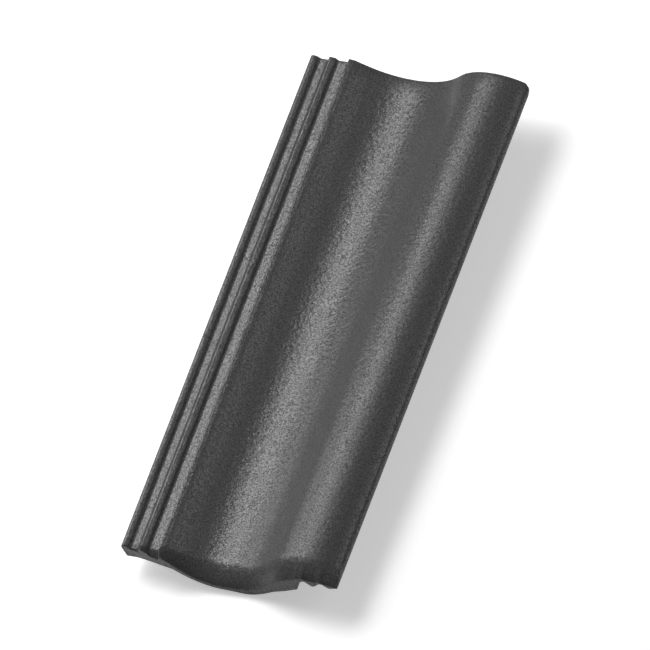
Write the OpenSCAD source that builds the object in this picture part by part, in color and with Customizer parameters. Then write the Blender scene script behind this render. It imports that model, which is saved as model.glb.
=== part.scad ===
// Half-width interlocking roof tile, moulded in one piece.
// It lies as it would on a level floor: face up, on its hanging nib and the underside of its foot.
// X runs across the tile from the side lock to the cover rim, Y runs from foot to head, and Z is up.
// The section is first drawn flat.
// There x = 0 is at the lock's outer wall and z = 0 is at the outer channel's floor.

/* [Overall] */
// Length from the front of the nose to the head
tile_length = 420; // [380:1:460]
// Width over the side lock and the cover rim
tile_width = 181; // [179:0.5:184]
// Thickness of the plate, square to its face
plate_thick = 12.3; // [10:0.1:14]

/* [Wave] */
// Distance from the middle of the roll to the rim's edge
roll_reach = 28; // [26:0.5:30]
// Radius of the trough's face
trough_radius = 59.5; // [52:0.5:61]
// Radius of the roll's face
crest_radius = 42.5; // [40:0.5:44]
// Lowest level of the trough's face
trough_level = -12.6; // [-15:0.1:-10]
// Highest level of the roll's face
crest_level = 17.2; // [16:0.1:19]
// Steepness of the slope between the lock and the trough, in degrees
flank_angle = 36; // [32:0.5:40]
// Steepness of the rise between the trough and the roll, in degrees
rise_angle = 40.6; // [39:0.1:42]

/* [Side lock] */
// Width of the lock, up to the top of the body's step
lock_width = 33.2; // [33:0.1:34]
// Level of the lock's underside
lock_under = -12; // [-15:0.1:-10]
// Rounding of the lock's outer edge
edge_round = 3; // [1:0.1:3.5]
// Fall of the tops of the ribs and the step towards the roll, in degrees
top_tilt = 18; // [0:1:20]
// Height of the outer rib over the outer channel
rib_1_height = 3.9; // [3:0.1:4.5]
// Where the outer rib is highest
rib_1_x = 3; // [2:0.1:4]
// Width of the outer rib at its foot
rib_1_width = 7.7; // [7:0.1:9]
// Height of the inner rib over the outer channel
rib_2_height = 5.2; // [4:0.1:5.4]
// Where the inner rib begins
rib_2_x = 12.3; // [11.5:0.1:13]
// Width of the inner rib at its foot
rib_2_width = 10.7; // [9.5:0.1:11]
// Width over which the inner rib's outer side rises
rib_2_slope = 5.2; // [3:0.1:5.5]
// Width over which each rib's inner side falls
rib_wall = 2.6; // [1.5:0.1:3]
// Level of the inner channel's floor over the outer one's
channel_rise = 0.9; // [0:0.1:1]
// Level of the top of the body's step
step_level = 6.2; // [5:0.1:6.4]
// Width over which the body's step rises
step_slope = 3.5; // [3:0.1:6]

/* [Cover rim] */
// Width by which the rim laps over the next tile's lock
lap_width = 31; // [30:0.1:32]
// Play beside the next tile's ribs
rim_play = 1; // [0.5:0.1:1.5]
// Gap of the inner groove over the next tile's outer rib
groove_1_gap = 2.7; // [2:0.1:3.5]
// Gap of the inner lip over the next tile's outer channel
lip_1_gap = 1; // [0.8:0.1:2]
// Gap of the outer groove over the next tile's inner rib
groove_2_gap = 1.1; // [0.8:0.1:1.5]
// Gap of the outer lip over the next tile's inner channel
lip_2_gap = 0.6; // [0.4:0.1:1]
// Rise of the outer lip towards the rim's edge
lip_corner = 1.6; // [0:0.1:1.8]
// Width of the rounding of the rim's upper edge
rim_round = 3; // [1:0.1:4]
// Fall of the face over that rounding
rim_fall = 2.2; // [1:0.1:2.4]
// Least thickness of the rim under its face
rim_least = 1.3; // [1:0.1:3]

/* [Head] */
// Width of the rounded corner of the head, over the rim
head_corner_width = 3.5; // [1:0.5:6]
// Length of the rounded corner of the head, along the rim
head_corner_length = 7; // [1:0.5:12]

/* [Foot] */
// Length of the nose's rounding at its tip
nose_round = 15; // [12:0.5:18]
// Level part of the nose before its rounding
nose_flat = 2; // [1:0.5:4]
// Greatest fall of the face over the nose
nose_drop = 10; // [6:0.5:14]
// Share of the foot's height that this fall may take
nose_share = 0.6; // [0.4:0.05:0.7]
// Flatness of the nose's rounding: 1 for an ellipse, 2 for a straight chamfer
nose_flatness = 1.45; // [1:0.05:1.8]
// How far the nose's left corner stays behind its tip
corner_depth = 10; // [6:0.5:12]
// Share of the nose that is left at the lock's outer wall
corner_share = 0.06; // [0.04:0.01:0.2]
// Where the nose begins to come forward, beside the lock's outer wall
corner_start = 5; // [0:0.5:10]
// Width over which the nose comes forward
corner_width = 75; // [50:1:80]
// Depth of the closing rib under the trough's right side
rib_trough_drop = 4.2; // [0:0.1:8]
// Distance from the trough's middle back to where the closing rib begins
rib_lead = 3; // [0:0.5:8]
// Width over which it deepens under the trough
rib_start_slope = 24.5; // [15:0.5:30]
// Depth of the closing rib under the roll
rib_roll_drop = 11; // [9:0.5:13]
// Distance from the roll's middle back to where the closing rib deepens again
rib_roll_lead = 35; // [33:0.5:41]
// Width over which it deepens under the roll
rib_roll_slope = 21; // [15:0.5:23]
// Width over which the closing rib ends at the rim
rib_end_slope = 6.5; // [4:0.1:9]
// Length of the closing rib behind the nose
rib_length = 7; // [3:1:17]

/* [Hanging nib] */
// Width of the nib
nib_width = 60; // [40:1:70]
// Distance of the nib's middle past the trough's middle
nib_offset = 3.5; // [-5:0.5:10]
// Thickness of the nib along the tile
nib_thick = 22; // [16:1:30]
// Depth of the nib under the trough
nib_depth = 12; // [9:0.5:18]
// Distance from the head to the nib's back
nib_setback = 14; // [6:1:30]
// Slope of the nib's back, over its height
nib_draft = 5; // [0:0.5:8]

/* [Hidden] */

// Reach of the nose past the plate, and length of the plate without it
nose_reach = nose_round + nose_flat;
plate_length = tile_length - nose_reach;
// Height of the trough's and the roll's centres
trough_z = trough_level + trough_radius;
crest_z = crest_level - crest_radius;
// Length of the straight rise that joins the two arcs
arc_rise = (trough_radius + crest_radius) * (1 - cos(rise_angle));
rise_length = (crest_level - trough_level - arc_rise) / sin(rise_angle);
// Middle of the roll and of the trough, from the lock's outer wall
crest_x = tile_width - roll_reach;
arc_run = (trough_radius + crest_radius) * sin(rise_angle);
trough_x = crest_x - arc_run - rise_length * cos(rise_angle);
// Distance from one tile to the next in a course, where the rim's underside begins
cover_width = tile_width - lap_width;
// Places and levels of the rim's grooves and lips over the next tile's lock
groove_1_x = cover_width + rib_1_width / 2 + rim_play;
groove_1_level = rib_1_height + groove_1_gap;
lip_1_x = cover_width + (rib_1_width + rib_2_x) / 2;
lip_1_level = lip_1_gap;
groove_2_x = cover_width + rib_2_x + rib_2_slope + rim_play;
groove_2_level = rib_2_height + groove_2_gap;
lip_2_x = cover_width + rib_2_x + rib_2_width + rim_play;
lip_2_level = channel_rise + lip_2_gap;
// Where the closing rib begins and deepens
rib_start = trough_x - rib_lead;
rib_roll_start = crest_x - rib_roll_lead;
// Middle of the nib, from the lock's outer wall
nib_x = trough_x + nib_offset;
// Steps along the section: fine over the lock and the rim, wide over the wave
fine_step = 0.75;
wide_step = 3;
// Steps around the nose and around the head's corner
nose_steps = 6;
corner_sides = 32;
// How softly the nose's corner comes forward: 0.5 for an ellipse, more for a softer corner
corner_power = 1.5;
// How far one solid runs into or past the next
overlap = 2;

// Places along the section
stations = concat(
  [for (x = [0 : fine_step : lock_width + overlap]) x],
  [for (x = [lock_width + wide_step : wide_step : cover_width - rib_end_slope]) x],
  [for (x = [cover_width - rib_end_slope + fine_step : fine_step : tile_width - fine_step / 2]) x],
  [tile_width]
);

// The tile's rest on the floor
foot_low = min([for (x = stations) foot_z(x)]);
nib_low = trough_level - plate_thick - nib_depth;
nib_front = plate_length - nib_setback - nib_thick;
rest_angle = atan2(foot_low - nib_low, nib_front + nose_reach);
// The size of the tile as it lies
rest_drop = foot_low * cos(rest_angle) - nose_reach * sin(rest_angle);
rest_front = min([for (x = stations) -reach(x) * cos(rest_angle) - nose_top(x) * sin(rest_angle)]);
rest_back = plate_length * cos(rest_angle) - (trough_level - plate_thick) * sin(rest_angle);

// Rises smoothly from 0 at a to 1 at b
function ramp(x, a, b) = x <= a ? 0 : x >= b ? 1 : (1 - cos(180 * (x - a) / (b - a))) / 2;

// Fall over a rounded edge of this width and depth, this far out over it
function edge_fall(out, width, depth) = out <= 0 ? 0 : depth * (1 - sqrt(1 - pow(out / width, 2)));

// Height of the wave at x, on a face this far under the tile's face
function wave(x, under) =
  let (r1 = trough_radius + under)
  let (r2 = crest_radius - under)
  let (x1 = trough_x - r1 * sin(flank_angle))
  let (x2 = trough_x + r1 * sin(rise_angle))
  let (x3 = crest_x - r2 * sin(rise_angle))
  x < x1 ? trough_z - r1 * cos(flank_angle) + (x1 - x) * tan(flank_angle) :
  x < x2 ? trough_z - sqrt(max(0, r1 * r1 - pow(x - trough_x, 2))) :
  x < x3 ? trough_z - r1 * cos(rise_angle) + (x - x2) * tan(rise_angle) :
  crest_z + sqrt(max(0, r2 * r2 - pow(x - crest_x, 2)));

// Fall of a tilted top, this far past its highest place
function tilt_fall(past) = tan(top_tilt) * max(0, past);

// Height of the outer rib at x, with its rounded outer edge
function rib_1(x) =
  (rib_1_height - tilt_fall(x - rib_1_x))
  * (1 - ramp(x, rib_1_width - rib_wall, rib_1_width))
  - edge_fall(edge_round - x, edge_round, edge_round);

// Height of the inner rib at x, over the inner channel
function rib_2(x) =
  (rib_2_height - channel_rise - tilt_fall(x - rib_2_x - rib_2_slope))
  * ramp(x, rib_2_x, rib_2_x + rib_2_slope)
  * (1 - ramp(x, rib_2_x + rib_2_width - rib_wall, rib_2_x + rib_2_width));

// Height of the lock's face at x
function lock_z(x) =
  rib_1(x)
  + rib_2(x)
  + channel_rise * ramp(x, rib_2_x, rib_2_x + rib_2_slope)
  + (step_level - channel_rise) * ramp(x, lock_width - step_slope, lock_width);

// Height of the tile's face at x
function face_z(x) =
  x < lock_width ? lock_z(x) :
  x < trough_x ? min(step_level - tilt_fall(x - lock_width), wave(x, 0)) :
  wave(x, 0) - edge_fall(x - tile_width + rim_round, rim_round, rim_fall);

// Height of the rim's underside at x, as the next tile's lock needs it
function rim_z(x) =
  wave(cover_width, plate_thick)
  + (groove_1_level - wave(cover_width, plate_thick)) * ramp(x, cover_width, groove_1_x)
  - (groove_1_level - lip_1_level) * ramp(x, groove_1_x, lip_1_x)
  + (groove_2_level - lip_1_level) * ramp(x, lip_1_x, groove_2_x)
  - (groove_2_level - lip_2_level) * ramp(x, groove_2_x, lip_2_x)
  + lip_corner * ramp(x, lip_2_x, tile_width);

// Height of the tile's underside at x
function under_z(x) =
  x < trough_x ? min(lock_under, wave(x, plate_thick)) :
  x < cover_width ? wave(x, plate_thick) : min(rim_z(x), face_z(x) - rim_least);

// Height of the foot's underside at x, with the closing rib
function foot_z(x) =
  under_z(x)
  - (rib_trough_drop * ramp(x, rib_start, rib_start + rib_start_slope)
  + (rib_roll_drop - rib_trough_drop) * ramp(x, rib_roll_start, rib_roll_start + rib_roll_slope))
  * (1 - ramp(x, cover_width - rib_end_slope, cover_width));

// Share of the nose's full size at x, along a softened corner
function nose_size(x) =
  let (left = min(1, max(0, (corner_start + corner_width - x) / corner_width)))
  corner_share + (1 - corner_share) * pow(1 - left * left, corner_power);

// Reach of the nose past the plate at x
function reach(x) = nose_reach - corner_depth * (1 - nose_size(x));

// Fall of the face over the nose at x
function nose_fall(x) = min(nose_drop * nose_size(x), nose_share * (face_z(x) - foot_z(x)));

// Height of the top of the nose's front at x
function nose_top(x) = face_z(x) - nose_fall(x);

// A ring around the nose, this far forward and with its face this far down at each station
function nose_ring(forward, down) = concat(
  [for (i = [0 : len(stations) - 1]) [stations[i], -forward[i], face_z(stations[i]) - down[i]]],
  [for (i = [len(stations) - 1 : -1 : 0]) [stations[i], -forward[i], foot_z(stations[i])]]
);

// The ring where the nose meets the plate
function root_ring() = nose_ring([for (x = stations) 0], [for (x = stations) 0]);

// The ring of the rounding at this turn, from level to upright
function round_ring(turn) =
  let (left_over = 1 - pow(sin(turn), nose_flatness))
  let (fallen = 1 - pow(cos(turn), nose_flatness))
  nose_ring(
    [for (x = stations) reach(x) - nose_round * nose_size(x) * left_over],
    [for (x = stations) nose_fall(x) * fallen]
  );

// The plate's section, drawn out along Y
module plate() {
  outline = concat(
    [for (x = stations) [x, face_z(x)]],
    [for (i = [len(stations) - 1 : -1 : 0]) [stations[i], under_z(stations[i])]]
  );
  translate([0, plate_length, 0])
    rotate([90, 0, 0])
      linear_extrude(height = plate_length)
        polygon(outline);
}

// What is trimmed off the head's corner over the rim
module head_trim() {
  translate([tile_width - head_corner_width, plate_length - head_corner_length, lock_under])
    linear_extrude(height = crest_level - lock_under)
      difference() {
        square([head_corner_width + overlap, head_corner_length + overlap]);
        scale([head_corner_width, head_corner_length])
          circle(r = 1, $fn = corner_sides);
      }
}

// The closing rib under the foot, behind the nose
module closing_rib() {
  xs = [for (x = stations) if (x > rib_start - wide_step && x < cover_width) x];
  outline = concat(
    [for (x = xs) [x, under_z(x) + overlap]],
    [for (i = [len(xs) - 1 : -1 : 0]) [xs[i], foot_z(xs[i])]]
  );
  translate([0, rib_length, 0])
    rotate([90, 0, 0])
      linear_extrude(height = rib_length)
        polygon(outline);
}

// The rounded nose in front of the plate
module nose() {
  count = 2 * len(stations);
  rings = concat([root_ring()], [for (k = [0 : nose_steps]) round_ring(90 * k / nose_steps)]);
  points = [for (ring = rings) each ring];
  last = (nose_steps + 1) * count;
  walls = [
    for (k = [0 : nose_steps])
      for (i = [0 : count - 1])
        let (j = (i + 1) % count)
        for (t = [0, 1])
          t == 0 ? [k * count + i, k * count + j, (k + 1) * count + j]
          : [k * count + i, (k + 1) * count + j, (k + 1) * count + i]
  ];
  back = [
    for (i = [0 : len(stations) - 2])
      for (t = [0, 1])
        t == 0 ? [i + 1, i, count - 1 - i] : [i + 1, count - 1 - i, count - 2 - i]
  ];
  front = [for (f = back) [last + f[0], last + f[2], last + f[1]]];
  polyhedron(points, concat(walls, back, front));
}

// The nib that hangs the tile on its batten
module nib() {
  top = trough_level - plate_thick / 2;
  side = [
    [nib_front, top],
    [nib_front, nib_low],
    [nib_front + nib_thick - nib_draft, nib_low],
    [nib_front + nib_thick, top]
  ];
  translate([nib_x - nib_width / 2, 0, 0])
    rotate([90, 0, 90])
      linear_extrude(height = nib_width)
        polygon(side);
}

module tile() {
  color([0.30, 0.30, 0.31])
    translate([-tile_width / 2, -(rest_front + rest_back) / 2, -rest_drop])
      rotate([rest_angle, 0, 0]) {
        difference() {
          plate();
          head_trim();
        }
        closing_rib();
        nose();
        nib();
      }
}

tile();
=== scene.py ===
"""Dresses the interlocking roof tile: its moulded body, its finish, the studio and the camera."""

import logging
import math
from dataclasses import dataclass, field
from enum import Enum

import bpy
import numpy as np
from mathutils import Matrix, Vector


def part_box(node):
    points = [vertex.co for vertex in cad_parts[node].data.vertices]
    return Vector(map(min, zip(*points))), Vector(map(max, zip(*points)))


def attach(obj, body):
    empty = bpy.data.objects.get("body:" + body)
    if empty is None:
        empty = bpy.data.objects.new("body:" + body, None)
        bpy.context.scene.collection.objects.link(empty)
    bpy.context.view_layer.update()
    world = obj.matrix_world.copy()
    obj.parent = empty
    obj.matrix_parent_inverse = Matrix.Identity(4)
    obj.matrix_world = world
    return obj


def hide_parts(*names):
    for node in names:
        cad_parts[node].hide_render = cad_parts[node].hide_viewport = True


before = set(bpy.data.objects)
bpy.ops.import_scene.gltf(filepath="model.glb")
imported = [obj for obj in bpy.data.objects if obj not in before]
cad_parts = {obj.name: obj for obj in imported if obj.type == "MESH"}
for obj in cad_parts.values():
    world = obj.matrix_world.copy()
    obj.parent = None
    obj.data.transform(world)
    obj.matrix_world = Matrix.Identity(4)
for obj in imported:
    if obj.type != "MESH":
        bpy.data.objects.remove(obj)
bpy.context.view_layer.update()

MM = 0.001
WHITE = (1.0, 1.0, 1.0, 1.0)
LOG = logging.getLogger("roof_tile")

Span = tuple[float, float]
Triple = tuple[float, float, float]
Values = np.ndarray | float
Tree = bpy.types.NodeTree
Socket = bpy.types.NodeSocket


class Skin(Enum):
    """The two skins of the moulded body, as the value kept on each point."""

    COATED = 0.0
    BARE = 1.0


class Layer(Enum):
    """The values kept on each point of the tile, by the name that the material reads."""

    SKIN = "skin"
    MATTE = "matte"


def ramp(x: np.ndarray, start: float, end: float) -> np.ndarray:
    """Rises smoothly from 0 to 1.

    Args:
        x: The places to work out.
        start: Where the rise begins.
        end: Where the rise ends.

    Returns:
        The rise at each place.
    """
    share = np.clip((x - start) / (end - start), 0.0, 1.0)
    return (1.0 - np.cos(np.pi * share)) / 2.0


def edge_fall(out: np.ndarray, width: Values, depth: Values) -> np.ndarray:
    """Falls over a rounded edge.

    Args:
        out: How far out over the edge each place is.
        width: The rounding's width.
        depth: The rounding's depth.

    Returns:
        The fall at each place, 0 before the edge.
    """
    share = np.clip(out / width, 0.0, 1.0)
    return depth * (1.0 - np.sqrt(1.0 - share * share))


@dataclass(frozen=True)
class Wave:
    """The wave of the plate: a slope, a trough, a rise and a roll, in millimetres."""

    trough_x: float = 80.5
    crest_x: float = 153.0
    trough_radius: float = 59.5
    crest_radius: float = 42.5
    trough_level: float = -12.6
    crest_level: float = 17.2
    flank_angle: float = math.radians(36.0)

    def rise_angle(self) -> float:
        """Works out the slope of the line that joins the trough to the roll.

        Returns:
            The angle, in radians.
        """
        across = self.crest_x - self.trough_x
        up = self.trough_level + self.trough_radius - self.crest_level + self.crest_radius
        reach = (self.trough_radius + self.crest_radius) / math.hypot(across, up)
        return math.pi / 2 - math.atan2(up, across) - math.acos(reach)

    def height(self, x: np.ndarray, under: float) -> np.ndarray:
        """Gives the wave's height.

        Args:
            x: Places across the tile.
            under: How far under the tile's face the wanted face is.

        Returns:
            The height at each place.
        """
        flank, rise = self.flank_angle, self.rise_angle()
        r1, r2 = self.trough_radius + under, self.crest_radius - under
        z1 = self.trough_level + self.trough_radius
        z2 = self.crest_level - self.crest_radius
        x1 = self.trough_x - r1 * math.sin(flank)
        x2 = self.trough_x + r1 * math.sin(rise)
        x3 = self.crest_x - r2 * math.sin(rise)
        slope = z1 - r1 * math.cos(flank) + (x1 - x) * math.tan(flank)
        trough = z1 - np.sqrt(np.maximum(r1 * r1 - (x - self.trough_x) ** 2, 0.0))
        line = z1 - r1 * math.cos(rise) + (x - x2) * math.tan(rise)
        roll = z2 + np.sqrt(np.maximum(r2 * r2 - (x - self.crest_x) ** 2, 0.0))
        return np.where(x < x1, slope, np.where(x < x2, trough, np.where(x < x3, line, roll)))


@dataclass(frozen=True)
class SideLock:
    """The side lock's two ribs, two channels and the body's step, in millimetres."""

    width: float = 33.2
    under: float = -12.0
    edge_round: float = 3.0
    top_tilt: float = math.radians(18.0)
    rib_1_height: float = 3.9
    rib_1_x: float = 3.0
    rib_1_width: float = 7.7
    rib_2_height: float = 5.2
    rib_2_x: float = 12.3
    rib_2_width: float = 10.7
    rib_2_slope: float = 5.2
    rib_wall: float = 2.6
    channel_rise: float = 0.9
    step_level: float = 6.2
    step_slope: float = 3.5

    def tilt_fall(self, past: np.ndarray) -> np.ndarray:
        """Gives the fall of a tilted top, this far past its highest place."""
        return math.tan(self.top_tilt) * np.maximum(past, 0.0)

    def height(self, x: np.ndarray) -> np.ndarray:
        """Gives the lock's face, with the tilted top of the body's step after it.

        Args:
            x: Places across the tile.

        Returns:
            The height at each place.
        """
        outer = self.rib_1_height - self.tilt_fall(x - self.rib_1_x)
        outer = outer * (1.0 - ramp(x, self.rib_1_width - self.rib_wall, self.rib_1_width))
        outer = outer - edge_fall(self.edge_round - x, self.edge_round, self.edge_round)
        top, end = self.rib_2_x + self.rib_2_slope, self.rib_2_x + self.rib_2_width
        rise = ramp(x, self.rib_2_x, top)
        inner = self.rib_2_height - self.channel_rise - self.tilt_fall(x - top)
        inner = inner * rise * (1.0 - ramp(x, end - self.rib_wall, end))
        floor = self.channel_rise * rise
        step = self.step_level - self.channel_rise
        step = step * ramp(x, self.width - self.step_slope, self.width)
        return outer + inner + floor + step - self.tilt_fall(x - self.width)


@dataclass(frozen=True)
class CoverRim:
    """The cover rim's two underside grooves, two lips and rounded edge, in millimetres."""

    start: float = 150.0
    groove_1_level: float = 6.6
    groove_1_x: float = 154.85
    lip_1_level: float = 1.0
    lip_1_x: float = 160.0
    groove_2_level: float = 6.3
    groove_2_x: float = 168.5
    lip_2_level: float = 1.5
    lip_2_x: float = 174.0
    lip_corner: float = 1.6
    edge_round: float = 3.0
    edge_depth: float = 2.2

    def height(self, x: np.ndarray, base: float, width: float) -> np.ndarray:
        """Gives the rim's underside.

        Args:
            x: Places across the tile.
            base: The plate's underside where the rim begins.
            width: The tile's width.

        Returns:
            The height at each place.
        """
        return (
            base
            + (self.groove_1_level - base) * ramp(x, self.start, self.groove_1_x)
            - (self.groove_1_level - self.lip_1_level) * ramp(x, self.groove_1_x, self.lip_1_x)
            + (self.groove_2_level - self.lip_1_level) * ramp(x, self.lip_1_x, self.groove_2_x)
            - (self.groove_2_level - self.lip_2_level) * ramp(x, self.groove_2_x, self.lip_2_x)
            + self.lip_corner * ramp(x, self.lip_2_x, width)
        )


@dataclass(frozen=True)
class Foot:
    """The rounded nose and the closing rib under it, in millimetres."""

    nose_round: float = 15.0
    nose_flat: float = 2.0
    nose_drop: float = 10.0
    nose_share: float = 0.6
    nose_flatness: float = 1.45
    corner_depth: float = 10.0
    corner_share: float = 0.06
    corner_start: float = 5.0
    corner_width: float = 75.0
    corner_power: float = 1.5
    trough_drop: float = 4.2
    start: float = 77.5
    start_slope: float = 24.5
    roll_drop: float = 11.0
    roll_start: float = 118.0
    roll_slope: float = 21.0
    end_slope: float = 6.5
    rib_length: float = 7.0
    rib_wall_before: float = 0.7
    rib_wall_after: float = 0.5

    @property
    def nose_reach(self) -> float:
        """How far the nose's tip is past the plate."""
        return self.nose_round + self.nose_flat

    @property
    def rib_wall(self) -> Span:
        """Where the closing rib's back wall begins and ends along the tile."""
        return self.rib_length - self.rib_wall_before, self.rib_length + self.rib_wall_after

    def rib_share(self, row: float) -> float:
        """Gives the share of the closing rib's depth that is left this far along the tile."""
        return 1.0 - float(ramp(np.array(row), *self.rib_wall))

    def size(self, x: np.ndarray) -> np.ndarray:
        """Gives the share of the nose's full size, which is small at the left corner.

        Args:
            x: Places across the tile.

        Returns:
            The share at each place.
        """
        left = np.clip((self.corner_start + self.corner_width - x) / self.corner_width, 0.0, 1.0)
        full = (1.0 - left * left) ** self.corner_power
        return self.corner_share + (1.0 - self.corner_share) * full

    def reach(self, x: np.ndarray) -> np.ndarray:
        """Gives how far the nose comes forward at each place across the tile."""
        return self.nose_reach - self.corner_depth * (1.0 - self.size(x))

    def fall(self, x: np.ndarray, height: np.ndarray) -> np.ndarray:
        """Gives how far the face falls over the nose, where the foot has this height."""
        return np.minimum(self.nose_drop * self.size(x), self.nose_share * height)

    def drop(self, x: np.ndarray, rim_start: float) -> np.ndarray:
        """Gives the closing rib's depth.

        Args:
            x: Places across the tile.
            rim_start: Where the cover rim begins.

        Returns:
            The depth under the plate at each place.
        """
        trough = self.trough_drop * ramp(x, self.start, self.start + self.start_slope)
        more = self.roll_drop - self.trough_drop
        roll = more * ramp(x, self.roll_start, self.roll_start + self.roll_slope)
        return (trough + roll) * (1.0 - ramp(x, rim_start - self.end_slope, rim_start))


@dataclass(frozen=True)
class HangingNib:
    """The nib that hangs the tile on its batten, in millimetres."""

    width: float = 60.0
    middle: float = 84.0
    thick: float = 22.0
    depth: float = 12.0
    setback: float = 14.0
    draft: float = 5.0
    wall: float = 1.2

    def back(self, head: float) -> float:
        """Gives where the nib ends along the tile, for a plate that ends at the head."""
        return head - self.setback

    def front(self, head: float) -> float:
        """Gives where the nib begins along the tile, for a plate that ends at the head."""
        return self.back(head) - self.thick

    def share(self, x: np.ndarray, y: np.ndarray, head: float) -> np.ndarray:
        """Gives the share of the nib's depth under each point.

        Args:
            x: Places across the tile.
            y: Places along the tile.
            head: Where the plate ends.

        Returns:
            0 beside the nib, 1 on its base.
        """
        left, right = self.middle - self.width / 2, self.middle + self.width / 2
        front, back = self.front(head), self.back(head)
        across = ramp(x, left, left + self.wall) * (1.0 - ramp(x, right - self.wall, right))
        along = ramp(y, front, front + self.wall) * np.clip((back - y) / self.draft, 0.0, 1.0)
        return across * along


@dataclass(frozen=True)
class NoiseLayer:
    """One layer of noise in the concrete, by the size of its cells in metres."""

    size: float
    detail: float
    rough: float

    def add(self, tree: Tree, place: Socket) -> Socket:
        """Adds the layer's texture to a material.

        Args:
            tree: The material's nodes.
            place: The coordinates to read.

        Returns:
            The noise's value.
        """
        node = tree.nodes.new("ShaderNodeTexNoise")
        node.inputs["Scale"].default_value = 1.0 / self.size
        node.inputs["Detail"].default_value = self.detail
        node.inputs["Roughness"].default_value = self.rough
        tree.links.new(place, node.inputs["Vector"])
        return node.outputs["Fac"]


@dataclass(frozen=True)
class CoatedConcrete:
    """The satin dark coat over sandy concrete on the face, and the bare concrete underneath."""

    name: str = "coated_concrete"
    coat_dark: Triple = (0.058, 0.058, 0.059)
    coat_light: Triple = (0.088, 0.088, 0.089)
    bare_dark: Triple = (0.075, 0.075, 0.076)
    bare_light: Triple = (0.125, 0.124, 0.122)
    tint_span: Span = (0.4, 0.6)
    patch_span: Span = (0.0, 1.0)
    coat_rough: Span = (0.27, 0.31)
    gloss_span: Span = (0.38, 0.62)
    coat_gloss: Span = (0.08, 0.66)
    matte_rough: float = 0.42
    matte_gloss: float = 0.0
    bare_rough: float = 0.82
    grain: NoiseLayer = NoiseLayer(size=1.1 * MM, detail=3.0, rough=0.62)
    grain_depth: float = 0.07 * MM
    relief: NoiseLayer = NoiseLayer(size=3.0 * MM, detail=2.0, rough=0.5)
    relief_depth: float = 0.4 * MM
    patch: NoiseLayer = NoiseLayer(size=14.0 * MM, detail=4.0, rough=0.55)

    def material(self) -> bpy.types.Material:
        """Builds the node material.

        Returns:
            The finished material.
        """
        material = bpy.data.materials.new(self.name)
        material.use_nodes = True
        tree = material.node_tree
        tree.nodes.clear()
        output = tree.nodes.new("ShaderNodeOutputMaterial")
        shader = tree.nodes.new("ShaderNodeBsdfPrincipled")
        tree.links.new(shader.outputs["BSDF"], output.inputs["Surface"])

        place = tree.nodes.new("ShaderNodeTexCoord").outputs["Object"]
        grain, patch = self.grain.add(tree, place), self.patch.add(tree, place)
        skin, matte = self.layer(tree, Layer.SKIN), self.layer(tree, Layer.MATTE)
        tree.links.new(self.colour(tree, grain, skin), shader.inputs["Base Color"])

        rough = self.span(tree, patch, self.patch_span, self.coat_rough)
        worn = self.blend(tree, matte, rough, self.matte_rough)
        sheen = self.blend(tree, skin, worn, self.bare_rough)
        tree.links.new(sheen, shader.inputs["Roughness"])

        gloss = self.span(tree, grain, self.gloss_span, self.coat_gloss)
        dull = self.blend(tree, matte, gloss, self.matte_gloss)
        tree.links.new(dull, shader.inputs["Specular IOR Level"])

        coarse = self.bump(tree, self.relief.add(tree, place), self.relief_depth)
        fine = self.bump(tree, grain, self.grain_depth)
        tree.links.new(coarse.outputs["Normal"], fine.inputs["Normal"])
        tree.links.new(fine.outputs["Normal"], shader.inputs["Normal"])
        return material

    def colour(self, tree: Tree, grain: Socket, skin: Socket) -> Socket:
        """Mixes the coat's colour and the bare concrete's.

        Args:
            tree: The material's nodes.
            grain: What drives the dark and the light grains.
            skin: 0 on the coat and 1 on the bare concrete.

        Returns:
            The mixed colour.
        """
        coat = self.tint(tree, grain, self.coat_dark, self.coat_light)
        bare = self.tint(tree, grain, self.bare_dark, self.bare_light)
        node = tree.nodes.new("ShaderNodeMix")
        node.data_type = "RGBA"
        tree.links.new(skin, node.inputs["Factor"])
        tree.links.new(coat, node.inputs["A"])
        tree.links.new(bare, node.inputs["B"])
        return node.outputs["Result"]

    def tint(self, tree: Tree, value: Socket, dark: Triple, light: Triple) -> Socket:
        """Adds a ramp between two colours.

        Args:
            tree: The material's nodes.
            value: What drives the ramp.
            dark: The colour of the low values.
            light: The colour of the high values.

        Returns:
            The ramp's colour.
        """
        node = tree.nodes.new("ShaderNodeValToRGB")
        stops = node.color_ramp.elements
        for stop, position, colour in zip(stops, self.tint_span, (dark, light)):
            stop.position = position
            stop.color = (*colour, 1.0)
        tree.links.new(value, node.inputs["Fac"])
        return node.outputs["Color"]

    @staticmethod
    def layer(tree: Tree, layer: Layer) -> Socket:
        """Reads a value that is kept on the tile's points.

        Args:
            tree: The material's nodes.
            layer: Which value to read.

        Returns:
            The value.
        """
        node = tree.nodes.new("ShaderNodeAttribute")
        node.attribute_name = layer.value
        return node.outputs["Fac"]

    @staticmethod
    def bump(tree: Tree, height: Socket, depth: float) -> bpy.types.Node:
        """Adds a bump.

        Args:
            tree: The material's nodes.
            height: What raises the surface.
            depth: How far it raises it.

        Returns:
            The bump's node.
        """
        node = tree.nodes.new("ShaderNodeBump")
        node.inputs["Strength"].default_value = 1.0
        node.inputs["Distance"].default_value = depth
        tree.links.new(height, node.inputs["Height"])
        return node

    @staticmethod
    def span(tree: Tree, value: Socket, source: Span, target: Span) -> Socket:
        """Moves a value from one span to another.

        Args:
            tree: The material's nodes.
            value: The value to move.
            source: The span it comes from.
            target: The span it goes to.

        Returns:
            The moved value.
        """
        node = tree.nodes.new("ShaderNodeMapRange")
        node.inputs["From Min"].default_value, node.inputs["From Max"].default_value = source
        node.inputs["To Min"].default_value, node.inputs["To Max"].default_value = target
        tree.links.new(value, node.inputs["Value"])
        return node.outputs["Result"]

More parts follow.
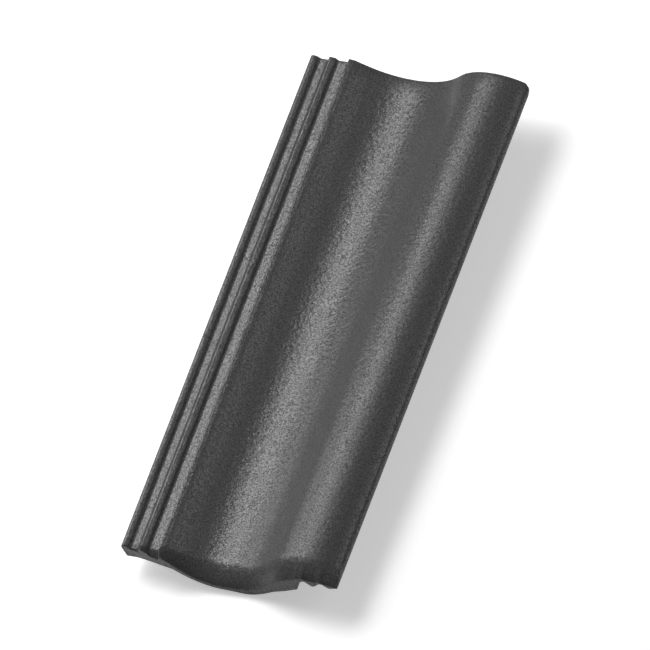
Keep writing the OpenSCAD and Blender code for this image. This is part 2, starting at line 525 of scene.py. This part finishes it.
    @staticmethod
    def blend(tree: Tree, share: Socket, base: Socket, other: float) -> Socket:
        """Blends a value towards a number.

        Args:
            tree: The material's nodes.
            share: How much of the number to take.
            base: The value where the share is 0.
            other: The number where the share is 1.

        Returns:
            The blended value.
        """
        node = tree.nodes.new("ShaderNodeMix")
        node.data_type = "FLOAT"
        tree.links.new(share, node.inputs["Factor"])
        tree.links.new(base, node.inputs["A"])
        node.inputs["B"].default_value = other
        return node.outputs["Result"]


@dataclass(frozen=True)
class DullCoat:
    """Where the coat has lost its gloss, in millimetres across the tile and from its head."""

    head_fade: float = 16.0
    lock_fade: float = 5.0
    fade_power: float = 1.5
    rise: float = 0.9
    rise_in: Span = (84.0, 114.0)
    rise_out: Span = (132.0, 150.0)
    rise_fade: Span = (6.0, 52.0)
    roll: float = 0.7
    roll_in: Span = (140.0, 172.0)
    roll_out: Span = (172.0, 180.0)
    nose: float = 0.6
    nose_slope: Span = (0.3, 0.75)

    def share(
        self, across: np.ndarray, from_head: np.ndarray, forward: np.ndarray, lock: float
    ) -> np.ndarray:
        """Finds the dull places: towards the head, on the roll's side and on the nose's front.

        Args:
            across: How far from the left edge each point is.
            from_head: How far from the head each point is.
            forward: How far each point's normal looks forward.
            lock: The side lock's width.

        Returns:
            0 where the coat is whole and 1 where it is matte, by point.
        """
        fade = np.where(across < lock, self.lock_fade, self.head_fade)
        head = np.clip(1.0 - from_head / fade, 0.0, 1.0) ** self.fade_power
        rise = ramp(across, *self.rise_in) * (1.0 - ramp(across, *self.rise_out))
        rise = rise * self.rise * (1.0 - ramp(from_head, *self.rise_fade))
        roll = self.roll * ramp(across, *self.roll_in) * (1.0 - ramp(across, *self.roll_out))
        nose = self.nose * ramp(forward, *self.nose_slope)
        return np.max([head, rise, nose, roll], axis=0)


@dataclass(frozen=True)
class LoftSteps:
    """How finely the loft is cut across and along the tile, in millimetres."""

    edge_end: float = 1.2
    lock_start: float = 1.7
    lock_end: float = 36.2
    lock_step: float = 0.55
    wave_start: float = 37.0
    wave_end: float = 143.0
    wave_step: float = 2.0
    rim_start: float = 143.5
    rim_end: float = 178.0
    rim_step: float = 0.8
    lip_start: float = 178.3
    lip_cuts: int = 8
    rib_gap: float = 1.0
    rib_cuts: int = 8
    plate_start: float = 1.6
    plate_gap: float = 1.0
    plate_step: float = 1.9
    base_start: float = 2.4
    base_cuts: int = 8
    draft_start: float = 1.0
    draft_cuts: int = 4
    head_step: float = 1.5
    head_gap: float = 1.6
    edge_cuts: int = 5
    nose_cuts: int = 12
    wall_cuts: int = 6

    def across(self, width: float) -> np.ndarray:
        """Gives the places across the tile, fine over the lock and the rim.

        Args:
            width: The tile's width.

        Returns:
            The places, from the left edge to the right.
        """
        return np.concatenate([
            np.linspace(0.0, self.edge_end, self.edge_cuts),
            np.arange(self.lock_start, self.lock_end, self.lock_step),
            np.arange(self.wave_start, self.wave_end, self.wave_step),
            np.arange(self.rim_start, self.rim_end, self.rim_step),
            np.linspace(self.lip_start, width, self.lip_cuts),
        ])

    def along(self, foot: Foot, nib: HangingNib, head: float, soft: float) -> np.ndarray:
        """Gives the places along the plate, fine at the closing rib, the nib and the head.

        Args:
            foot: The tile's foot.
            nib: The tile's nib.
            head: Where the plate ends.
            soft: The width of the head's softened edge.

        Returns:
            The places, from the nose's root to the head.
        """
        rib = foot.rib_length
        front, back = nib.front(head), nib.back(head)
        draft = back - nib.draft
        turns = np.linspace(0.0, np.pi / 2, self.edge_cuts)
        return np.concatenate([
            np.linspace(0.0, rib - self.rib_gap, self.rib_cuts),
            np.linspace(*foot.rib_wall, self.edge_cuts),
            np.arange(rib + self.plate_start, front - self.plate_gap, self.plate_step),
            np.linspace(front, front + nib.wall, self.edge_cuts),
            np.linspace(front + self.base_start, draft, self.base_cuts),
            np.linspace(draft + self.draft_start, back, self.draft_cuts),
            np.arange(back + self.head_step, head - self.head_gap, self.head_step),
            head - soft * (1.0 - np.sin(turns)),
        ])


@dataclass
class RoofTile:
    """The whole moulded tile, lofted ring by ring from its foot to its head, in millimetres."""

    name: str = "roof_tile"
    length: float = 420.0
    width: float = 181.0
    plate: float = 12.3
    head_corner_width: float = 3.5
    head_corner_length: float = 7.0
    head_corner_spread: float = 2.0
    edge_soft: float = 0.9
    tip_soft_share: float = 0.6
    head_soft_share: float = 0.7
    nose_even: float = 7.0
    nose_even_steps: int = 9
    # Bare concrete shows where a normal looks further down, or further to the back, than this.
    bare_down: float = -0.35
    bare_back: float = 0.6
    wave: Wave = field(default_factory=Wave)
    lock: SideLock = field(default_factory=SideLock)
    rim: CoverRim = field(default_factory=CoverRim)
    foot: Foot = field(default_factory=Foot)
    nib: HangingNib = field(default_factory=HangingNib)
    steps: LoftSteps = field(default_factory=LoftSteps)
    dull: DullCoat = field(default_factory=DullCoat)
    finish: CoatedConcrete = field(default_factory=CoatedConcrete)

    @property
    def head(self) -> float:
        """Where the plate ends, measured from the nose's root."""
        return self.length - self.foot.nose_reach

    @property
    def trough_low(self) -> float:
        """The level of the plate's underside in the trough."""
        return self.wave.trough_level - self.plate

    @property
    def nib_low(self) -> float:
        """The level of the nib's base."""
        return self.trough_low - self.nib.depth

    def columns(self) -> np.ndarray:
        """Gives the places across the tile where the loft is cut."""
        return self.steps.across(self.width)

    def rows(self) -> np.ndarray:
        """Gives the places along the plate where the loft is cut."""
        return self.steps.along(self.foot, self.nib, self.head, self.edge_soft)

    def face(self, x: np.ndarray) -> np.ndarray:
        """Gives the height of the tile's face.

        Args:
            x: Places across the tile.

        Returns:
            The height at each place.
        """
        body, lock = self.wave.height(x, 0.0), self.lock.height(x)
        left = np.where(x < self.lock.width, lock, np.minimum(lock, body))
        out = x - self.width + self.rim.edge_round
        right = body - edge_fall(out, self.rim.edge_round, self.rim.edge_depth)
        return np.where(x < self.wave.trough_x, left, right)

    def underside(self, x: np.ndarray) -> np.ndarray:
        """Gives the height of the tile's underside, without the closing rib and the nib.

        Args:
            x: Places across the tile.

        Returns:
            The height at each place.
        """
        body = self.wave.height(x, self.plate)
        base = float(self.wave.height(np.array(self.rim.start), self.plate))
        soft = edge_fall(self.edge_soft - x, self.edge_soft, self.edge_soft)
        left = np.minimum(self.lock.under, body) + soft
        right = np.where(x < self.rim.start, body, self.rim.height(x, base, self.width))
        return np.where(x < self.wave.trough_x, left, right)

    def nose_fall(self, x: np.ndarray) -> np.ndarray:
        """Gives how far the face falls over the nose, evened out across the tile's width.

        Args:
            x: Places across the tile.

        Returns:
            The fall at each place.
        """
        falls = []
        for shift in np.linspace(-self.nose_even, self.nose_even, self.nose_even_steps):
            near = np.clip(x + shift, 0.0, self.width)
            drop = self.foot.drop(near, self.rim.start)
            height = self.face(near) - self.underside(near) + drop
            falls.append(self.foot.fall(near, height))
        return np.mean(falls, axis=0)

    def rest(self) -> Matrix:
        """Works out the move from the flat section to the tile as it lies on the floor.

        Returns:
            The move, from millimetres to metres.
        """
        x = self.columns()
        foot_low = float((self.underside(x) - self.foot.drop(x, self.rim.start)).min())
        run = self.nib.front(self.head) + self.foot.nose_reach
        lean = math.atan2(foot_low - self.nib_low, run)
        lift = foot_low * math.cos(lean) - self.foot.nose_reach * math.sin(lean)
        back = self.head * math.cos(lean) - self.trough_low * math.sin(lean)
        low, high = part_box("tile")
        move = Vector((low[0], high[1] - back * MM, -lift * MM))
        turn = Matrix.Rotation(lean, 4, "X")
        return Matrix.Translation(move) @ turn @ Matrix.Scale(MM, 4)

    def nose_rings(self) -> list[np.ndarray]:
        """Works out the rings of the nose, from its tip to its root.

        Returns:
            The rings' points, in the flat frame.
        """
        x, foot = self.columns(), self.foot
        face, under, drop = self.face(x), self.underside(x), foot.drop(x, self.rim.start)
        reach, size = foot.reach(x), foot.size(x)
        fall = np.minimum(self.nose_fall(x), foot.nose_share * (face - under + drop))
        soft = np.minimum(self.edge_soft, foot.nose_round * size * self.tip_soft_share)
        rings = []
        for turn in np.linspace(np.pi / 2, 0.0, self.steps.nose_cuts):
            left_over = 1.0 - math.sin(turn) ** foot.nose_flatness
            fallen = 1.0 - math.cos(turn) ** foot.nose_flatness
            forward = reach - foot.nose_round * size * left_over
            bottom = under - drop + edge_fall(forward - reach + soft, soft, soft)
            rings.append(self.ring(x, -forward, face - fall * fallen, bottom))
        return rings

    def plate_rings(self) -> list[np.ndarray]:
        """Works out the rings of the plate, from the nose's root to the head.

        Returns:
            The rings' points, in the flat frame.
        """
        x = self.columns()
        face, under, drop = self.face(x), self.underside(x), self.foot.drop(x, self.rim.start)
        squeeze = self.head_corner_length * self.head_corner_spread
        out = x - self.width + self.head_corner_width
        corner = edge_fall(out, self.head_corner_width, self.head_corner_length)
        rings = []
        for row in self.rows():
            y = row - corner * max(0.0, (row - self.head + squeeze) / squeeze)
            past = np.array(row - self.head + self.edge_soft)
            edge = edge_fall(past, self.edge_soft, self.edge_soft)
            nib = (self.nib_low - under) * self.nib.share(x, np.full_like(x, row), self.head)
            rib = drop * self.foot.rib_share(row)
            bottom = under - rib + nib + edge * self.head_soft_share
            rings.append(self.ring(x, y, face - edge, bottom))
        return rings

    def ring(
        self, x: np.ndarray, y: np.ndarray, top: np.ndarray, bottom: np.ndarray
    ) -> np.ndarray:
        """Joins one ring's face, right wall, underside and left wall.

        Args:
            x: Places across the tile.
            y: Places along the tile.
            top: Heights of the face.
            bottom: Heights of the underside.

        Returns:
            The ring's points, in order around the section.
        """
        over = np.column_stack([x, y, top])
        below = np.column_stack([x, y, bottom])[::-1]
        inner = np.linspace(0.0, 1.0, self.steps.wall_cuts + 1)[1:-1, None]
        right = over[-1] * (1.0 - inner) + below[0] * inner
        left = below[-1] * (1.0 - inner) + over[0] * inner
        return np.concatenate([over, right, below, left])

    def cap(
        self, ring: np.ndarray, base: int, start: int, flip: bool
    ) -> tuple[np.ndarray, np.ndarray]:
        """Closes one end of the loft with rows between its face and its underside.

        Args:
            ring: The end ring's points.
            base: The number of the ring's first point.
            start: The number of the first new point.
            flip: Whether the end looks towards the head.

        Returns:
            The new points and the new quads.
        """
        wide, wall = len(self.columns()), self.steps.wall_cuts - 1
        share = np.linspace(0.0, 1.0, wall + 2)[1:-1, None, None]
        over, below = ring[:wide], ring[wide + wall:2 * wide + wall][::-1]
        grid = over[None] * (1.0 - share) + below[None] * share
        new = grid[:, 1:-1].reshape(-1, 3)
        index = np.empty((wall + 2, wide), dtype=int)
        index[0] = base + np.arange(wide)
        index[-1] = base + 2 * wide + wall - 1 - np.arange(wide)
        index[1:-1, 0] = base + 2 * wide + 2 * wall - 1 - np.arange(wall)
        index[1:-1, -1] = base + wide + np.arange(wall)
        index[1:-1, 1:-1] = start + np.arange(len(new)).reshape(wall, wide - 2)
        upper, lower = index[:-1], index[1:]
        quads = np.stack([upper[:, :-1], lower[:, :-1], lower[:, 1:], upper[:, 1:]], axis=-1)
        quads = quads.reshape(-1, 4)
        return new, quads[:, ::-1] if flip else quads

    def build(self) -> bpy.types.Object:
        """Builds the tile's mesh object.

        Returns:
            The tile, where the CAD model has it.
        """
        rings = np.array(self.nose_rings() + self.plate_rings())
        count, around = rings.shape[:2]
        first = np.arange(count)[:-1, None] * around
        second = first + around
        i = np.arange(around)[None, :]
        j = (i + 1) % around
        sides = np.stack([first + i, first + j, second + j, second + i], axis=-1)
        points, quads = [rings.reshape(-1, 3)], [sides.reshape(-1, 4)]
        start = count * around
        for ring, flip in ((0, False), (count - 1, True)):
            extra, faces = self.cap(rings[ring], ring * around, start, flip)
            points.append(extra)
            quads.append(faces)
            start += len(extra)
        mesh = bpy.data.meshes.new(self.name)
        mesh.from_pydata(np.concatenate(points).tolist(), [], np.concatenate(quads).tolist())
        mesh.transform(self.rest())
        mesh.validate()
        mesh.update()
        tile = bpy.data.objects.new(self.name, mesh)
        bpy.context.scene.collection.objects.link(tile)
        return tile

    def dress(self, tile: bpy.types.Object) -> None:
        """Gives the tile its skins, its dull places and its finish.

        Args:
            tile: The tile's object.
        """
        mesh = tile.data
        mesh.polygons.foreach_set("use_smooth", [True] * len(mesh.polygons))
        places, normals = self.vectors(mesh, "co"), self.vectors(mesh, "normal")
        bare = (normals[:, 2] < self.bare_down) | (normals[:, 1] > self.bare_back)
        skin = np.where(bare, Skin.BARE.value, Skin.COATED.value)
        low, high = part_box("tile")
        across, from_head = (places[:, 0] - low[0]) / MM, (high[1] - places[:, 1]) / MM
        matte = self.dull.share(across, from_head, -normals[:, 1], self.lock.width)
        for layer, values in ((Layer.SKIN, skin), (Layer.MATTE, matte)):
            kept = mesh.attributes.new(layer.value, "FLOAT", "POINT")
            kept.data.foreach_set("value", values)
        mesh.materials.append(self.finish.material())

    @staticmethod
    def vectors(mesh: bpy.types.Mesh, name: str) -> np.ndarray:
        """Reads one vector of every point.

        Args:
            mesh: The tile's mesh.
            name: Which vector to read.

        Returns:
            The vectors, one to a row.
        """
        flat = np.empty(len(mesh.vertices) * 3)
        mesh.vertices.foreach_get(name, flat)
        return flat.reshape(-1, 3)


@dataclass(frozen=True)
class SoftLight:
    """One square softbox that looks at a point of the tile."""

    name: str
    towards: Triple
    distance: float
    side: float
    power: float
    aim: Triple = (0.0, 0.0, 0.03)

    def build(self) -> None:
        """Hangs the light."""
        data = bpy.data.lights.new(self.name, "AREA")
        data.shape = "SQUARE"
        data.size = self.side
        data.energy = self.power
        light = bpy.data.objects.new(self.name, data)
        way = Vector(self.towards).normalized()
        light.location = Vector(self.aim) + way * self.distance
        light.rotation_euler = way.to_track_quat("Z", "Y").to_euler()
        bpy.context.scene.collection.objects.link(light)


@dataclass(frozen=True)
class Studio:
    """The pale floor and backdrop, the soft lights and the dim room."""

    floor_half: float = 4.0
    floor_colour: float = 0.86
    floor_level: float = 0.0
    floor_glow: float = 0.45
    backdrop_level: float = -0.35
    backdrop_glow: float = 1.0
    room: float = 0.08
    lights: tuple[SoftLight, ...] = (
        SoftLight(
            "key", towards=(-0.385, 0.370, 0.846), distance=1.9, side=1.1, power=26.5,
            aim=(0.0, -0.15, 0.03),
        ),
        SoftLight(
            "low_side", towards=(-0.790, 0.380, 0.483), distance=1.1, side=0.6, power=3.4,
            aim=(0.0, -0.36, 0.03),
        ),
        SoftLight("fill", towards=(0.724, 0.376, 0.579), distance=1.9, side=0.9, power=4.9),
    )

    def build(self) -> None:
        """Sets up the floor, the backdrop, the lights and the world."""
        self.plane("floor", self.floor_level, self.floor_glow)
        self.plane("backdrop", self.backdrop_level, self.backdrop_glow)
        for light in self.lights:
            light.build()
            LOG.info("light %s", light.name)
        self.world()

    def plane(self, name: str, level: float, glow: float) -> None:
        """Lays a pale plane: the floor, or the backdrop that low views see under its level.

        Args:
            name: The plane's name.
            level: Its height.
            glow: Its own light, where it is seen.
        """
        h = self.floor_half
        corners = [(-h, -h, level), (h, -h, level), (h, h, level), (-h, h, level)]
        mesh = bpy.data.meshes.new(name)
        mesh.from_pydata(corners, [], [(0, 1, 2, 3)])
        plane = bpy.data.objects.new(name, mesh)
        bpy.context.scene.collection.objects.link(plane)
        mesh.materials.append(self.pale_material(name, glow))
        LOG.info("plane %s", name)

    def pale_material(self, name: str, strength: float) -> bpy.types.Material:
        """Makes a pale plane's material, lifted to white where it is seen.

        Args:
            name: The plane's name.
            strength: Its own light, where it is seen.

        Returns:
            The plane's material.
        """
        material = bpy.data.materials.new("pale_" + name)
        material.use_nodes = True
        tree = material.node_tree
        shader = tree.nodes["Principled BSDF"]
        shader.inputs["Base Color"].default_value = (*[self.floor_colour] * 3, 1.0)
        shader.inputs["Roughness"].default_value = 1.0
        shader.inputs["Specular IOR Level"].default_value = 0.0
        shader.inputs["Emission Color"].default_value = WHITE
        path = tree.nodes.new("ShaderNodeLightPath")
        seen = path.outputs["Is Camera Ray"]
        for ray in ("Is Glossy Ray", "Is Transmission Ray"):
            either = tree.nodes.new("ShaderNodeMath")
            either.operation = "MAXIMUM"
            tree.links.new(seen, either.inputs[0])
            tree.links.new(path.outputs[ray], either.inputs[1])
            seen = either.outputs["Value"]
        glow = tree.nodes.new("ShaderNodeMath")
        glow.operation = "MULTIPLY"
        glow.inputs[1].default_value = strength
        tree.links.new(seen, glow.inputs[0])
        tree.links.new(glow.outputs["Value"], shader.inputs["Emission Strength"])
        return material

    def world(self) -> None:
        """Sets the dim light of the room and the plain view."""
        world = bpy.data.worlds.new("room")
        world.use_nodes = True
        shade = world.node_tree.nodes["Background"]
        shade.inputs["Color"].default_value = WHITE
        shade.inputs["Strength"].default_value = self.room
        bpy.context.scene.world = world
        bpy.context.scene.view_settings.view_transform = "Standard"


@dataclass(frozen=True)
class PhotoCamera:
    """The parallel camera of the photograph, rolled so that the tile leans to the right."""

    target: Triple = (0.00005, -0.00089, 0.03229)
    azimuth: float = 48.29
    elevation: float = 51.77
    roll: float = -32.98
    distance: float = 2.0
    view_height: float = 0.46652

    def build(self) -> None:
        """Places the camera and makes it the scene's own."""
        azimuth, elevation = math.radians(self.azimuth), math.radians(self.elevation)
        roll = math.radians(self.roll)
        back = Vector((
            math.cos(elevation) * math.sin(azimuth),
            -math.cos(elevation) * math.cos(azimuth),
            math.sin(elevation),
        ))
        level = Vector((0.0, 0.0, 1.0)).cross(back).normalized()
        right = level * math.cos(roll) + back.cross(level) * math.sin(roll)
        up = back.cross(right)
        data = bpy.data.cameras.new("camera")
        data.type = "ORTHO"
        data.ortho_scale = self.view_height
        camera = bpy.data.objects.new("camera", data)
        turn = Matrix((right, up, back)).transposed().to_4x4()
        place = Vector(self.target) + back * self.distance
        camera.matrix_world = Matrix.Translation(place) @ turn
        bpy.context.scene.collection.objects.link(camera)
        bpy.context.scene.camera = camera


def main() -> None:
    """Builds the camera, the studio and the tile, and reports each piece."""
    logging.basicConfig(level=logging.INFO)
    PhotoCamera().build()
    Studio().build()
    body = RoofTile()
    tile = body.build()
    body.dress(tile)
    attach(tile, "root")
    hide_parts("tile")
    LOG.info("%s: %d points, %d faces", tile.name, len(tile.data.vertices), len(tile.data.polygons))


if __name__ == "__main__":
    main()
